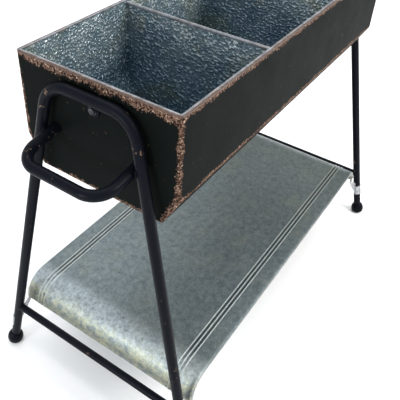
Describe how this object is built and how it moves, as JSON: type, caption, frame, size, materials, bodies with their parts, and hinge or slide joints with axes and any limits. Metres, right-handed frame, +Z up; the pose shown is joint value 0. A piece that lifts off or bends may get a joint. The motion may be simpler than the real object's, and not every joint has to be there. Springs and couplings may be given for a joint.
{
  "type": "raised planter on legs",
  "caption": "Raised rectangular metal planter trough with dividers, carried at each end by a splayed tube frame with a handle, above a sheet-metal shelf.",
  "frame": {"origin": "on the ground, under the middle of the trough", "axes": "+X along the trough towards its far end, +Y across it to the left, +Z up"},
  "size_m": [1.054, 0.538, 0.782],
  "materials": {
    "shell_paint": "satin black paint, worn at the edges",
    "rim_metal": "bare folded galvanised edge",
    "galvanised_lining": "hammered galvanised sheet",
    "galvanised_shelf": "dull mottled galvanised sheet",
    "frame_paint": "satin black paint",
    "foot_paint": "satin black paint",
    "zinc_plate": "zinc plated"
  },
  "bodies": {
    "root": {"far_crossbar": "frame_paint", "far_divider": "galvanised_lining", "far_end_cap": "shell_paint", "far_frame": "frame_paint", "far_handle": "frame_paint", "far_left_foot": "foot_paint", "far_left_strap": "zinc_plate", "far_lining_end": "galvanised_lining", "far_right_foot": "foot_paint", "far_right_strap": "zinc_plate", "frame_bolts": "zinc_plate", "frame_nuts": "zinc_plate", "frame_washers": "zinc_plate", "lining_wrap": "galvanised_lining", "near_crossbar": "frame_paint", "near_divider": "galvanised_lining", "near_end_cap": "shell_paint", "near_frame": "frame_paint", "near_handle": "frame_paint", "near_left_foot": "foot_paint", "near_left_strap": "zinc_plate", "near_lining_end": "galvanised_lining", "near_right_foot": "foot_paint", "near_right_strap": "zinc_plate", "outer_wrap": "shell_paint", "rim_frame": "rim_metal", "shelf": "galvanised_shelf", "strap_nuts": "zinc_plate", "strap_screws": "zinc_plate"}
  },
  "joints": []
}
